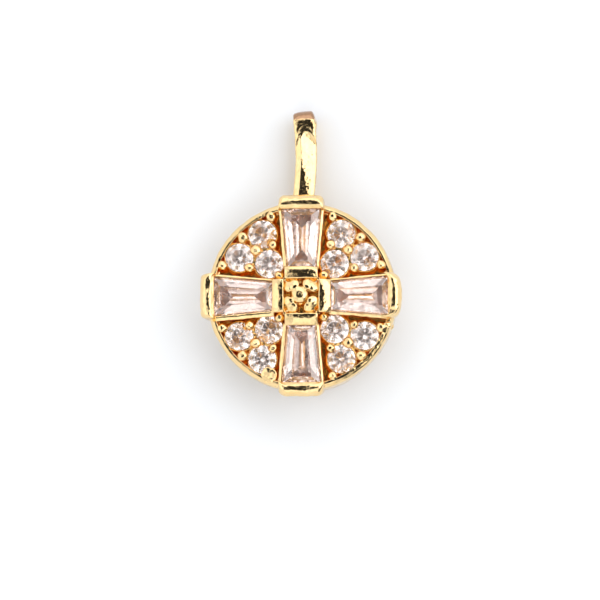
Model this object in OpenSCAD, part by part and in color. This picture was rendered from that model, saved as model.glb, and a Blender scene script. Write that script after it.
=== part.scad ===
// Clip-on nose pin: a round gold-plated disc with a cross of four tapered baguettes,
// three round brilliants in each quarter, and a flat strip bent into a press-on clip.
// It lies on its back: +X to the right, +Y towards the clip's bend, +Z out of the face.
// The origin is on the underside of the clip's back leg, under the middle of the disc.
// Heights named _h in the sections on the disc, cross and stones count from the disc's back.

/* [Disc] */
// Diameter of the round disc
disc_d = 9.4; // [9.3:0.02:9.6]
// Thickness of the sunk floor that carries the stones
floor_h = 1.0; // [0.95:0.05:1.1]
// Height of the top of the raised rim
rim_h = 1.5; // [1.4:0.05:1.6]
// Width of the rim's wall
rim_w = 0.32; // [0.28:0.02:0.36]
// Chamfer along the rim's outer edge
rim_chamfer = 0.2; // [0.1:0.02:0.24]

/* [Cross] */
// Distance from the middle to the outer face of an end cap
cross_reach = 5.0; // [4.95:0.01:5.1]
// Width of an end cap, across the arm
end_cap_w = 2.24; // [2.2:0.02:2.4]
// Length of an end cap, along the arm
end_cap_l = 0.71; // [0.68:0.01:0.74]
// Height of the crest of an end cap
end_cap_h = 2.12; // [2.08:0.02:2.2]
// Width of an inner cap, across the arm
inner_cap_w = 1.66; // [1.64:0.02:1.74]
// Distance from the middle to the near edge of an inner cap
inner_cap_near = 0.86; // [0.82:0.02:0.9]
// Distance from the middle to the far edge of an inner cap
inner_cap_far = 1.48; // [1.46:0.01:1.5]
// Height of the top of an inner cap
inner_cap_h = 2.0; // [1.96:0.02:2.1]
// Thickness of the wall along each long side of a baguette
wall_t = 0.13; // [0.1:0.01:0.14]
// Height of those walls
wall_h = 1.75; // [1.7:0.01:1.8]

/* [Baguettes] */
// Distance from the middle to the narrow end of a baguette
baguette_near = 1.38; // [1.37:0.01:1.4]
// Length of a baguette
baguette_l = 3.0; // [2.98:0.01:3.02]
// Width at the narrow end
baguette_w_in = 1.44; // [1.4:0.02:1.5]
// Width at the wide end
baguette_w_out = 1.96; // [1.9:0.02:2.0]
// Height of the girdle's upper edge
baguette_girdle_h = 1.6; // [1.58:0.01:1.62]
// Height of the crown above the girdle
baguette_crown = 0.25; // [0.22:0.01:0.28]

/* [Round stones] */
// Diameter of a round stone
round_d = 1.4; // [1.34:0.02:1.42]
// Height of the girdle's upper edge
round_girdle_h = 1.25; // [1.2:0.01:1.3]
// Width of the table as a share of the diameter
round_table = 0.55; // [0.5:0.01:0.6]
// Angle of the crown's main facets
crown_angle = 33.5; // [31:0.5:36]
// Angle of the pavilion's main facets
pavilion_angle = 40.5; // [39:0.5:41]

/* [Prongs and centre] */
// Radius of a prong's beaded top
prong_r = 0.25; // [0.2:0.01:0.26]
// Height of the middle of that bead
prong_h = 1.35; // [1.3:0.01:1.4]
// Radius of the ball in the middle of the cross
ball_r = 0.43; // [0.38:0.01:0.44]
// Height of the ball's middle
ball_h = 1.9; // [1.85:0.01:1.95]
// Radius of the four beads around the ball
bead_r = 0.3; // [0.27:0.01:0.31]
// Height of the middle of those beads
bead_h = 1.74; // [1.7:0.01:1.8]

/* [Clip] */
// Width of the strip
strip_w = 1.07; // [1:0.01:1.2]
// Thickness of the strip
strip_t = 0.5; // [0.45:0.01:0.55]
// Gap between the disc and the back leg, which the nostril fills
clip_gap = 1.1; // [1:0.05:1.6]
// Outer radius of the bend's two corners
corner_r = 0.6; // [0.6:0.05:0.9]
// Distance from the middle of the disc to the outside of the bend
clip_reach = 9.45; // [9.2:0.05:9.8]
// Distance that the back leg runs past the middle of the disc
back_leg_past = 1.6; // [1.2:0.05:2.4]
// Width of the back leg
back_leg_w = 0.8; // [0.7:0.05:1]
// Diameter of the round paddle at the back leg's end
paddle_d = 2.6; // [2.2:0.1:3]
// Chamfer along the strip's outer edges
strip_chamfer = 0.12; // [0.08:0.01:0.14]
// Distance that the strip is soldered to the right of the disc's middle
strip_offset = 0.04; // [0:0.01:0.12]

/* [Hidden] */
$fn = 48;

// Clearance between a stone and its seat
seat_gap = 0.02;
// Length that a cap's lip covers of a baguette's end
lip = 0.09;
// Depth that one form sinks into the next, so that the two are soldered into one
weld = 0.1;
gold = [0.93, 0.76, 0.36];
stone_white = [0.96, 0.91, 0.92];

// Levels above the ground
disc_z = strip_t + clip_gap;
clip_h = disc_z + strip_t;

// Quarters of the disc as the signs of x and y, and each quarter's number
quarters = [[1, 1], [1, -1], [-1, -1], [-1, 1]];
NE = 0;
SE = 1;
SW = 2;
NW = 3;

// Middles of the three round stones in the upper right quarter: x, y
round_spots = [[1.63, 1.63], [1.96, 3.11], [3.11, 1.96]];

// How each round stone was set and cut, from the quarter NE round to NW: turn in degrees,
// shift of its culet in x and y
round_cuts = [
    [7, 0.02, 0.015], [31, -0.02, 0.01], [18, 0.01, -0.02],
    [40, 0.02, 0], [3, -0.01, 0.02], [25, 0, -0.01],
    [12, 0.02, 0.02], [36, 0, 0], [9, -0.02, -0.02],
    [22, 0.015, 0], [0, -0.02, 0.02], [28, 0.01, -0.01],
];

// Prongs in the upper right quarter: x, y, share of the prong's radius
prong_spots = [
    [1.53, 3.97, 1.0],
    [1.42, 2.57, 0.95],
    [2.30, 2.31, 1.1],
    [2.93, 2.93, 1.1],
    [2.59, 1.41, 0.95],
    [3.93, 1.55, 1.0],
    [1.10, 1.03, 0.95],
];
// Radius of a prong's post as a share of its bead
post_share = 0.8;

// Round stone
round_r = round_d / 2;
round_girdle = 0.03;
table_r = round_r * round_table;
star_r = 0.79 * round_r;
lower_r = 0.24 * round_r;
half_facet = 22.5;
crown_slope = tan(crown_angle);
pavilion_slope = tan(pavilion_angle);
round_table_h = round_girdle_h + (round_r - table_r) * crown_slope;
round_star_h = round_girdle_h + (round_r - star_r * cos(half_facet)) * crown_slope;
round_culet_h = round_girdle_h - round_girdle - round_r * pavilion_slope;
// Hole drilled under each culet
culet_hole_r = 0.24;
culet_hole_drop = 0.05;

// Baguette: insets from the girdle's outline, and depths below the girdle
baguette_far = baguette_near + baguette_l;
baguette_girdle = 0.05;
table_side = 0.44;
table_end = 0.36;
// The two steps below the girdle: inset of the sides, inset of the ends, drop
steps = [[0.14, 0.16, 0.19], [0.34, 0.42, 0.4]];
keel_end = 0.55;
keel_slope = 0.7;
ledge_inset = 0.12;
ledge_drop = 0.23;
pocket_h = 0.7;

// Half of a baguette's width at a distance from the middle, and how fast it grows
function baguette_half(at) = baguette_w_in / 2 + (at - baguette_near) * baguette_taper();
function baguette_taper() = (baguette_w_out - baguette_w_in) / 2 / baguette_l;

// Corners of a baguette's outline, moved inwards by side and end
function baguette_ring(side, end) =
    let (
        near = baguette_near + end,
        far = baguette_far - end,
        lean = side * sqrt(1 + baguette_taper() * baguette_taper()),
        near_half = baguette_half(near) - lean,
        far_half = baguette_half(far) - lean
    )
    [[-near_half, near], [near_half, near], [far_half, far], [-far_half, far]];

// The same corners at a height
function raised(ring, height) = [for (p = ring) [p[0], p[1], height]];

// Corners of a regular ring of a round stone
function round_ring(count, radius, start, height) =
    [for (i = [0:count - 1])
        [radius * cos(start + i * 360 / count), radius * sin(start + i * 360 / count), height]];

// Stones

module baguette_stone() {
    top = disc_z + baguette_girdle_h;
    bottom = top - baguette_girdle;
    last = steps[len(steps) - 1];
    last_z = bottom - last[2];
    keel_near = baguette_near + last[1] + keel_end;
    keel_far = baguette_far - last[1] - keel_end;
    last_lean = last[0] * sqrt(1 + baguette_taper() * baguette_taper());
    points = concat(
        raised(baguette_ring(table_side, table_end), top + baguette_crown),
        raised(baguette_ring(0, 0), top),
        raised(baguette_ring(0, 0), bottom),
        [for (step = steps) each raised(baguette_ring(step[0], step[1]), bottom - step[2])],
        [for (at = [keel_near, keel_far])
            [0, at, last_z - (baguette_half(at) - last_lean) * keel_slope]]
    );
    bands = [for (band = [0:len(steps) + 1], i = [0:3])
        let (a = band * 4 + i, b = band * 4 + (i + 1) % 4)
        [a, b, b + 4, a + 4]];
    low = 4 * (len(steps) + 2);
    near = low + 4;
    far = low + 5;
    keel = [
        [low, low + 1, near], [low + 1, low + 2, far, near],
        [low + 2, low + 3, far], [low + 3, low, near, far],
    ];
    color(stone_white)
        polyhedron(points = points, faces = concat([[3, 2, 1, 0]], bands, keel));
}

// Round stone whose culet is shifted a little, as cheap stones are cut
module round_stone(shift) {
    girdle_z = disc_z + round_girdle_h;
    below_z = girdle_z - round_girdle;
    lower_z = below_z - (round_r - lower_r * cos(half_facet)) * pavilion_slope;
    points = concat(
        round_ring(8, table_r, 0, disc_z + round_table_h),
        round_ring(8, star_r, half_facet, disc_z + round_star_h),
        round_ring(16, round_r, 0, girdle_z),
        round_ring(16, round_r, 0, below_z),
        [for (p = round_ring(8, lower_r, half_facet, lower_z)) p + [shift[0], shift[1], 0]],
        [[shift[0], shift[1], disc_z + round_culet_h]]
    );
    star = 8;
    girdle = 16;
    below = 32;
    lower = 48;
    culet = 56;
    table = [[for (i = [7:-1:0]) i]];
    stars = [for (i = [0:7]) [i, (i + 1) % 8, star + i]];
    kites = [for (i = [0:7]) [i, star + i, girdle + 2 * i, star + (i + 7) % 8]];
    upper = [for (i = [0:7], side = [0, 1])
        [star + i, girdle + (2 * i + 1 + side) % 16, girdle + (2 * i + side) % 16]];
    edge = [for (i = [0:15])
        [girdle + i, girdle + (i + 1) % 16, below + (i + 1) % 16, below + i]];
    lowers = [for (i = [0:7], side = [0, 1])
        [lower + i, below + (2 * i + side) % 16, below + (2 * i + 1 + side) % 16]];
    mains = [for (i = [0:7]) [culet, lower + (i + 7) % 8, below + 2 * i, lower + i]];
    color(stone_white)
        polyhedron(points = points,
                   faces = concat(table, stars, kites, upper, edge, lowers, mains));
}

// One of the twelve round stones: its place in the quarter, and the quarter's number
module round_in(place, quarter) {
    spot = round_spots[place];
    signs = quarters[quarter];
    cut = round_cuts[3 * quarter + place];
    translate([signs[0] * spot[0], signs[1] * spot[1], 0])
        rotate([0, 0, cut[0]]) round_stone([cut[1], cut[2]]);
}

// Room that a round stone takes in the metal, from the hole under its culet up to its table
module round_seat() {
    culet_cone_h = round_culet_h - 2 * seat_gap + culet_hole_r * pavilion_slope;
    translate([0, 0, disc_z]) rotate_extrude()
        polygon([
            [0, round_culet_h - culet_hole_drop],
            [culet_hole_r, round_culet_h - culet_hole_drop],
            [culet_hole_r, culet_cone_h],
            [round_r + seat_gap, round_girdle_h - round_girdle - seat_gap],
            [round_r + seat_gap, round_girdle_h + seat_gap],
            [star_r + seat_gap, round_star_h + seat_gap],
            [table_r + seat_gap, round_table_h + seat_gap],
            [0, round_table_h + seat_gap],
        ]);
}

// Room for a baguette: a ledge below, a seat under the caps' lips, and the opening above
module baguette_seat() {
    ledge_z = disc_z + baguette_girdle_h - ledge_drop;
    lip_z = disc_z + baguette_girdle_h + baguette_crown / 2;
    translate([0, 0, disc_z + pocket_h])
        linear_extrude(ledge_z - disc_z - pocket_h + seat_gap)
            polygon(baguette_ring(ledge_inset, ledge_inset));
    translate([0, 0, ledge_z])
        linear_extrude(lip_z - ledge_z) polygon(baguette_ring(-seat_gap, -seat_gap));
    translate([0, 0, lip_z - seat_gap])
        linear_extrude(end_cap_h) polygon(baguette_ring(-seat_gap, lip));
}

// Metal

module disc() {
    translate([0, 0, disc_z]) difference() {
        union() {
            cylinder(h = rim_h - rim_chamfer, d = disc_d);
            translate([0, 0, rim_h - rim_chamfer])
                cylinder(h = rim_chamfer, d1 = disc_d, d2 = disc_d - 2 * rim_chamfer);
        }
        translate([0, 0, floor_h]) cylinder(h = rim_h, d = disc_d - 2 * rim_w);
    }
}

// Solid arm under a baguette, which its seat leaves as two walls and a ledge
module arm() {
    translate([0, 0, disc_z + floor_h - weld])
        linear_extrude(wall_h - floor_h + weld)
            polygon(baguette_ring(-seat_gap - wall_t, -seat_gap));
}

// Outline of an end cap with its two outer corners rounded
module end_cap_outline() {
    corner = 0.34;
    half = end_cap_w / 2;
    near = cross_reach - end_cap_l;
    translate([-half, near]) square([end_cap_w, end_cap_l - corner]);
    translate([-half + corner, near]) square([end_cap_w - 2 * corner, end_cap_l]);
    for (side = [-1, 1])
        translate([side * (half - corner), cross_reach - corner]) circle(corner);
}

// End cap: a crest near the stone, a rounded outer shoulder, and an outer wall that draws in
// towards the back
module end_cap() {
    crest_in = 0.28;
    inner_drop = 0.14;
    shoulder_r = 0.42;
    shoulder_h = end_cap_h - shoulder_r;
    draft = 0.2;
    intersection() {
        translate([0, 0, disc_z]) linear_extrude(end_cap_h) end_cap_outline();
        translate([-end_cap_w, cross_reach, disc_z])
            rotate([90, 0, 90]) linear_extrude(2 * end_cap_w) {
                polygon([
                    [-end_cap_l, 0], [-draft, 0], [0, shoulder_h],
                    [-shoulder_r, end_cap_h], [crest_in - end_cap_l, end_cap_h],
                    [-end_cap_l, end_cap_h - inner_drop],
                ]);
                translate([-shoulder_r, shoulder_h]) circle(shoulder_r);
            }
    }
}

// Inner cap with a flat top and chamfered edges
module inner_cap() {
    edge = 0.08;
    length = inner_cap_far - inner_cap_near;
    half = inner_cap_w / 2;
    intersection() {
        translate([-half, inner_cap_near, disc_z + floor_h - weld])
            cube([inner_cap_w, length, inner_cap_h - floor_h + weld]);
        translate([-half, (inner_cap_near + inner_cap_far) / 2, disc_z])
            rotate([90, 0, 90]) linear_extrude(inner_cap_w)
                polygon([
                    [-length / 2, 0], [length / 2, 0],
                    [length / 2, inner_cap_h - edge], [length / 2 - edge, inner_cap_h],
                    [edge - length / 2, inner_cap_h], [-length / 2, inner_cap_h - edge],
                ]);
        translate([0, inner_cap_far, disc_z])
            rotate([90, 0, 0]) linear_extrude(length)
                polygon([
                    [-half, 0], [half, 0],
                    [half, inner_cap_h - edge], [half - edge, inner_cap_h],
                    [edge - half, inner_cap_h], [-half, inner_cap_h - edge],
                ]);
    }
}

// Middle of the cross: a sunk block, a ball and four beads
module centre() {
    block_half = inner_cap_near + weld / 2;
    block_h = 1.4;
    bead_x = 0.55;
    bead_y = 0.51;
    translate([-block_half, -block_half, disc_z + floor_h - weld])
        cube([2 * block_half, 2 * block_half, block_h - floor_h + weld]);
    translate([0, 0, disc_z + floor_h])
        cylinder(h = ball_h - floor_h, r = ball_r * post_share);
    translate([0, 0, disc_z + ball_h]) sphere(ball_r);
    for (q = quarters) translate([q[0] * bead_x, q[1] * bead_y, disc_z]) {
        translate([0, 0, floor_h]) cylinder(h = bead_h - floor_h, r = bead_r * post_share);
        translate([0, 0, bead_h]) sphere(bead_r);
    }
}

// Beaded prong on a round post
module prong(share) {
    radius = prong_r * share;
    translate([0, 0, disc_z + floor_h - weld])
        cylinder(h = prong_h - floor_h + weld, r = radius * post_share);
    translate([0, 0, disc_z + prong_h]) sphere(radius);
}

module prongs() {
    for (q = quarters, spot = prong_spots)
        translate([q[0] * spot[0], q[1] * spot[1], 0]) prong(spot[2]);
}

// Section of the strip: distance from a corner's axis, and place across its width
module strip_section() {
    half = strip_w / 2;
    polygon([
        [corner_r - strip_t, -half], [corner_r - strip_chamfer, -half],
        [corner_r, strip_chamfer - half], [corner_r, half - strip_chamfer],
        [corner_r - strip_chamfer, half], [corner_r - strip_t, half],
    ]);
}

// Outline of the back leg from above: it narrows after the bend, and flares along two
// tangents into its round paddle
module back_leg_outline(bend_y, paddle_y) {
    paddle_r = paddle_d / 2;
    half = back_leg_w / 2;
    narrowing = 1.5;
    touch = 30;
    touch_x = paddle_r * cos(touch);
    touch_y = paddle_y + paddle_r * sin(touch);
    flare_y = touch_y + (touch_x - half) / tan(touch);
    translate([0, paddle_y]) circle(paddle_r);
    polygon([
        [strip_w / 2, bend_y], [half, bend_y - narrowing], [half, flare_y], [touch_x, touch_y],
        [-touch_x, touch_y], [-half, flare_y], [-half, bend_y - narrowing], [-strip_w / 2, bend_y],
    ]);
}

// Flat strip: a front leg soldered into the disc's edge, a bend with two corners, and the
// back leg
module clip() {
    bend_y = clip_reach - corner_r;
    solder_depth = 0.4;
    solder_y = disc_d / 2 - solder_depth;
    paddle_y = paddle_d / 2 - back_leg_past;
    translate([strip_offset, 0, 0]) {
        translate([0, bend_y, clip_h - corner_r]) rotate([0, -90, 0]) {
            rotate_extrude(angle = 90) strip_section();
            rotate([90, 0, 0]) linear_extrude(bend_y - solder_y) strip_section();
        }
        translate([0, bend_y, corner_r]) {
            rotate([0, -90, 0]) rotate([0, 0, 90]) rotate_extrude(angle = 90) strip_section();
            linear_extrude(clip_h - 2 * corner_r) rotate([0, 0, 90]) strip_section();
        }
        linear_extrude(strip_t) back_leg_outline(bend_y, paddle_y);
    }
}

module setting() {
    color(gold) difference() {
        union() {
            disc();
            for (turn = [0:90:270]) rotate([0, 0, turn]) {
                arm();
                end_cap();
                inner_cap();
            }
            centre();
            prongs();
            clip();
        }
        for (turn = [0:90:270]) rotate([0, 0, turn]) baguette_seat();
        for (q = quarters, spot = round_spots)
            translate([q[0] * spot[0], q[1] * spot[1], 0]) round_seat();
    }
}

module baguette_top() { baguette_stone(); }
module baguette_right() { rotate([0, 0, -90]) baguette_stone(); }
module baguette_bottom() { rotate([0, 0, 180]) baguette_stone(); }
module baguette_left() { rotate([0, 0, 90]) baguette_stone(); }

setting();
baguette_top();
baguette_right();
baguette_bottom();
baguette_left();
round_in(0, NE);  // round_ne_1
round_in(1, NE);  // round_ne_2
round_in(2, NE);  // round_ne_3
round_in(0, SE);  // round_se_1
round_in(1, SE);  // round_se_2
round_in(2, SE);  // round_se_3
round_in(0, SW);  // round_sw_1
round_in(1, SW);  // round_sw_2
round_in(2, SW);  // round_sw_3
round_in(0, NW);  // round_nw_1
round_in(1, NW);  // round_nw_2
round_in(2, NW);  // round_nw_3
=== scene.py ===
"""Clip-on nose pin: the looks of its gold-plated casting and its stones, in a small light tent.

Sizes are in millimetres while a piece is made, and every finished piece is in metres.
Heights named ..._height count from the back of the disc.
"""

import math

import bmesh
import bpy
from mathutils import Matrix, Vector, noise


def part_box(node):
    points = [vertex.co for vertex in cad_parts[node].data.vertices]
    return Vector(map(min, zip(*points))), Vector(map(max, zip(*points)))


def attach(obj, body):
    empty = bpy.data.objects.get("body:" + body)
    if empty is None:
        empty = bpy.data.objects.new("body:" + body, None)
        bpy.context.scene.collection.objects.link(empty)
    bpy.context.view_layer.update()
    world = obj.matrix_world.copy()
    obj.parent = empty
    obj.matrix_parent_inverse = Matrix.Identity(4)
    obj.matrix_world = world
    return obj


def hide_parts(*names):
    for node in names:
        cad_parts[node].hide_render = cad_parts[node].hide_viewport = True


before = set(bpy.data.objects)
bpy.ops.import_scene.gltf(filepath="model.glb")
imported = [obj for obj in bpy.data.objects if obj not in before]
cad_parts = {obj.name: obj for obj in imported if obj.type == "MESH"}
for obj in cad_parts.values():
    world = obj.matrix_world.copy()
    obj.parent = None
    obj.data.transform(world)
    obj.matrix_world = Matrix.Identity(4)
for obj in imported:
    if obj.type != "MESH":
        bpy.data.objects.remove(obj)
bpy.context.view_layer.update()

bl_info = {
    "name": "Baguette cross nose pin",
    "version": (1, 0, 0),
    "blender": (4, 5, 0),
    "location": "3D View > Sidebar > Nose pin",
    "description": "Dresses the packed nose pin in gold plate and cubic zirconia",
    "category": "Object",
}

MM = 0.001
ROUND_NODES = sorted(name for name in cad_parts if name.startswith("round_"))
BAGUETTE_TURNS = {
    "baguette_top": 0,
    "baguette_right": -90,
    "baguette_bottom": 180,
    "baguette_left": 90,
}


# Units and colours

def linear(hex_colour):
    """An sRGB hex colour as linear red, green and blue."""
    channels = [int(hex_colour[i:i + 2], 16) / 255 for i in (1, 3, 5)]
    return tuple(c / 12.92 if c <= 0.04045 else ((c + 0.055) / 1.055) ** 2.4 for c in channels)


def node_box_mm(name):
    """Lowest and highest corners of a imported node, in millimetres."""
    low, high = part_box(name)
    return low / MM, high / MM


SETTING_LOW, SETTING_HIGH = node_box_mm("setting")
BAGUETTE_LOW, BAGUETTE_HIGH = node_box_mm("baguette_top")
# Half of a baguette's width at its narrow end
BAGUETTE_NARROW = 0.72
ROUND_LOW, ROUND_HIGH = node_box_mm("round_ne_1")
# Named here, because the girdle has corners and a turned stone's box is narrower than the stone
ROUND_RADIUS = 0.7
# Height of a round stone's table above its girdle
ROUND_CROWN = 0.2085
# Distance that the strip is soldered to the right of the middle
STRIP_OFFSET = 0.04
# Ridge between the planes filed on the strip, from the strip's middle line
STRIP_RIDGE = -0.24
# Half of the back leg's width
BACK_LEG_HALF = 0.4
# Underside of the caps' lips over a baguette's ends, above the disc's back
CAP_LIP = 1.715
# How deep the walls, inner caps and centre are sunk into the disc's floor
SUNK = 0.1


# Sizes, colours and studio

class NosePinMetal(bpy.types.PropertyGroup):
    """Sizes of the cast and soldered metal."""

    back_level: bpy.props.FloatProperty(
        name="Back level", description="Height of the disc's back above the ground",
        default=1.6 * MM, unit="LENGTH")
    disc_radius: bpy.props.FloatProperty(
        name="Disc radius", description="Radius of the disc's outer edge",
        default=4.7 * MM, unit="LENGTH")
    rim_width: bpy.props.FloatProperty(
        name="Rim width", description="Width of the raised rim",
        default=0.32 * MM, unit="LENGTH")
    rim_slope: bpy.props.FloatProperty(
        name="Rim slope", description="Width of the slope along the rim's outer edge",
        default=0.2 * MM, unit="LENGTH")
    rim_height: bpy.props.FloatProperty(
        name="Rim height", description="Top of the rim above the disc's back",
        default=1.5 * MM, unit="LENGTH")
    floor_height: bpy.props.FloatProperty(
        name="Floor height", description="Sunk floor above the disc's back",
        default=0.72 * MM, unit="LENGTH")
    cup_height: bpy.props.FloatProperty(
        name="Cup height", description="Top of the cup round a round stone above the disc's back",
        default=1.2 * MM, unit="LENGTH")
    cup_wall: bpy.props.FloatProperty(
        name="Cup wall", description="Thickness of that cup at its top",
        default=0.1 * MM, unit="LENGTH")
    wall_height: bpy.props.FloatProperty(
        name="Wall height", description="Top of the walls beside a baguette",
        default=1.75 * MM, unit="LENGTH")
    wall_thickness: bpy.props.FloatProperty(
        name="Wall thickness", description="Thickness of the walls beside a baguette",
        default=0.14 * MM, unit="LENGTH")
    end_cap_width: bpy.props.FloatProperty(
        name="End cap width", description="Width of the cap at an arm's outer end",
        default=2.24 * MM, unit="LENGTH")
    end_cap_length: bpy.props.FloatProperty(
        name="End cap length", description="Length of that cap along the arm",
        default=0.71 * MM, unit="LENGTH")
    inner_cap_width: bpy.props.FloatProperty(
        name="Inner cap width", description="Width of the cap at an arm's inner end",
        default=1.66 * MM, unit="LENGTH")
    inner_cap_height: bpy.props.FloatProperty(
        name="Inner cap height", description="Top of that cap above the disc's back",
        default=2.0 * MM, unit="LENGTH")
    prong_radius: bpy.props.FloatProperty(
        name="Prong radius", description="Radius of a prong's beaded top",
        default=0.26 * MM, unit="LENGTH")
    prong_height: bpy.props.FloatProperty(
        name="Prong height", description="Middle of that bead above the disc's back",
        default=1.38 * MM, unit="LENGTH")
    ball_radius: bpy.props.FloatProperty(
        name="Ball radius", description="Radius of the ball in the middle of the cross",
        default=0.44 * MM, unit="LENGTH")
    ball_height: bpy.props.FloatProperty(
        name="Ball height", description="Middle of the ball above the disc's back",
        default=1.9 * MM, unit="LENGTH")
    strip_width: bpy.props.FloatProperty(
        name="Strip width", description="Width of the clip's strip",
        default=1.07 * MM, unit="LENGTH")
    strip_thickness: bpy.props.FloatProperty(
        name="Strip thickness", description="Thickness of the clip's strip",
        default=0.5 * MM, unit="LENGTH")
    bend_radius: bpy.props.FloatProperty(
        name="Bend radius", description="Outer radius of the two corners of the clip's bend",
        default=0.6 * MM, unit="LENGTH")
    paddle_radius: bpy.props.FloatProperty(
        name="Paddle radius", description="Radius of the back leg's round paddle",
        default=1.3 * MM, unit="LENGTH")
    back_leg_past: bpy.props.FloatProperty(
        name="Back leg past middle", description="How far the back leg runs past the middle",
        default=1.6 * MM, unit="LENGTH")


class NosePinFinish(bpy.types.PropertyGroup):
    """Colours of the finishes, and of the painted shade in the hollows and on steep sides."""

    gold: bpy.props.FloatVectorProperty(
        name="Gold plate", description="Colour that the plating reflects",
        default=linear("#f4dcac"), size=3, subtype="COLOR", min=0, max=1)
    gold_deep: bpy.props.FloatVectorProperty(
        name="Deep gold", description="Colour where the plating is heavier",
        default=linear("#ecc584"), size=3, subtype="COLOR", min=0, max=1)
    # Painted shade: the gold in the hollows round the stones, below their girdles, is coloured
    # darker and browner.
    shaded_matt_recess: bpy.props.FloatVectorProperty(
        name="Recess gold", description="Colour of the unpolished gold round the stones",
        default=linear("#dcab60"), size=3, subtype="COLOR", min=0, max=1)
    # Painted shade: steep sides between the caps and the caps' lips are coloured a deeper, orange
    # gold.
    lip: bpy.props.FloatVectorProperty(
        name="Lip gold", description="Colour of the scraped gold along the stones' edges",
        default=linear("#e6b25c"), size=3, subtype="COLOR", min=0, max=1)
    # Pinkish brown for the outward face at the top of the bend, which darkens its reflection there.
    bend_pink_brown: bpy.props.FloatVectorProperty(
        name="Rubbed metal", description="Colour of the brass that shows where the plating is worn",
        default=linear("#a98468"), size=3, subtype="COLOR", min=0, max=1)
    baguette: bpy.props.FloatVectorProperty(
        name="Baguette", description="Faint tint of the baguettes",
        default=linear("#fae4db"), size=3, subtype="COLOR", min=0, max=1)
    round_stone: bpy.props.FloatVectorProperty(
        name="Round stone", description="Faint tint of the round stones",
        default=linear("#fdf0eb"), size=3, subtype="COLOR", min=0, max=1)
    floor: bpy.props.FloatVectorProperty(
        name="Floor", description="Colour of the floor",
        default=linear("#edf0f4"), size=3, subtype="COLOR", min=0, max=1)


class NosePinStudio(bpy.types.PropertyGroup):
    """Camera and light."""

    lean_right: bpy.props.FloatProperty(
        name="Lean right", description="Angle of the camera to the right of the face's normal",
        default=math.radians(3.5), subtype="ANGLE")
    lean_down: bpy.props.FloatProperty(
        name="Lean down", description="Angle of the camera below the face's normal",
        default=math.radians(5), subtype="ANGLE")
    distance: bpy.props.FloatProperty(
        name="Distance", description="Camera to the face",
        default=250 * MM, unit="LENGTH")
    frame_width: bpy.props.FloatProperty(
        name="Frame width", description="Width of the picture at the face",
        default=29.7 * MM, unit="LENGTH")
    tent: bpy.props.FloatProperty(
        name="Tent", description="Brightness of the light tent", default=1.0, min=0)
    stone_gain: bpy.props.FloatProperty(
        name="Stone gain", description="How much brighter the tent is when seen through a stone",
        default=1.45, min=0)


def in_mm(group, name):
    """A length of a property group, in millimetres."""
    return getattr(group, name) / MM


# Mesh code

def ring(bm, points):
    """New vertices at these points."""
    return [bm.verts.new(p) for p in points]


def bridge(bm, first, second):
    """Quads between two closed rings of equal count."""
    count = len(first)
    for i in range(count):
        j = (i + 1) % count
        bm.faces.new((first[i], first[j], second[j], second[i]))


def loft(bm, sections):
    """A closed solid through rings of equal count, with flat ends."""
    rings = [ring(bm, points) for points in sections]
    for first, second in zip(rings, rings[1:]):
        bridge(bm, first, second)
    bm.faces.new(list(reversed(rings[0])))
    bm.faces.new(rings[-1])


def prism(bm, outline, low, high):
    """An upright solid on a flat outline."""
    loft(bm, [[(x, y, z) for x, y in outline] for z in (low, high)])


def lathe(bm, profile, steps, centre=(0, 0)):
    """A solid turned from a profile that starts and ends on the axis, as radius and height."""
    x, y = centre
    bottom = bm.verts.new((x, y, profile[0][1]))
    top = bm.verts.new((x, y, profile[-1][1]))
    rings = []
    for radius, height in profile[1:-1]:
        angles = [2 * math.pi * i / steps for i in range(steps)]
        rings.append(ring(bm, [(x + radius * math.cos(a), y + radius * math.sin(a), height)
                               for a in angles]))
    for first, second in zip(rings, rings[1:]):
        bridge(bm, first, second)
    for i in range(steps):
        j = (i + 1) % steps
        bm.faces.new((bottom, rings[0][j], rings[0][i]))
        bm.faces.new((top, rings[-1][i], rings[-1][j]))


def arc(centre, radius, start, end, steps):
    """Points along an arc, from one angle to another in degrees."""
    points = []
    for i in range(steps + 1):
        angle = math.radians(start + (end - start) * i / steps)
        points.append((centre[0] + radius * math.cos(angle), centre[1] + radius * math.sin(angle)))
    return points


def append_mesh(bm, other):
    """Moves all of another mesh under construction into this one."""
    matching = {vertex: bm.verts.new(vertex.co) for vertex in other.verts}
    for face in other.faces:
        bm.faces.new([matching[vertex] for vertex in face.verts])
    other.free()


def add_object(name, bm):
    """An object in the scene from mesh code, with its faces turned outwards."""
    bmesh.ops.recalc_face_normals(bm, faces=bm.faces)
    mesh = bpy.data.meshes.new(name)
    bm.to_mesh(mesh)
    bm.free()
    obj = bpy.data.objects.new(name, mesh)
    bpy.context.scene.collection.objects.link(obj)
    return obj


def apply_modifiers(obj):
    """The mesh that the object's modifiers give becomes its own."""
    depsgraph = bpy.context.evaluated_depsgraph_get()
    depsgraph.update()
    mesh = bpy.data.meshes.new_from_object(obj.evaluated_get(depsgraph))
    old = obj.data
    obj.modifiers.clear()
    obj.data = mesh
    bpy.data.meshes.remove(old)


def fuse(obj, voxel, smoothing):
    """Overlapping solids become one skin, with its edges rounded by a few smoothing passes."""
    remesh = obj.modifiers.new("Fuse", "REMESH")
    remesh.mode = "VOXEL"
    remesh.voxel_size = voxel
    smooth = obj.modifiers.new("Round edges", "SMOOTH")
    smooth.factor = 0.5
    smooth.iterations = smoothing
    apply_modifiers(obj)


def roughen(obj, waves):
    """Moves each point along its normal by soft noise: amplitude and size of each wave, in mm."""
    mesh = obj.data
    mesh.update()
    normals = [n.vector.copy() for n in mesh.vertex_normals]
    for vertex, normal in zip(mesh.vertices, normals):
        shift = 0
        for amplitude, size in waves:
            shift += amplitude * noise.noise(vertex.co / size + Vector((size, 7.3, 2.1)))
        vertex.co += normal * shift
    mesh.update()


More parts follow.
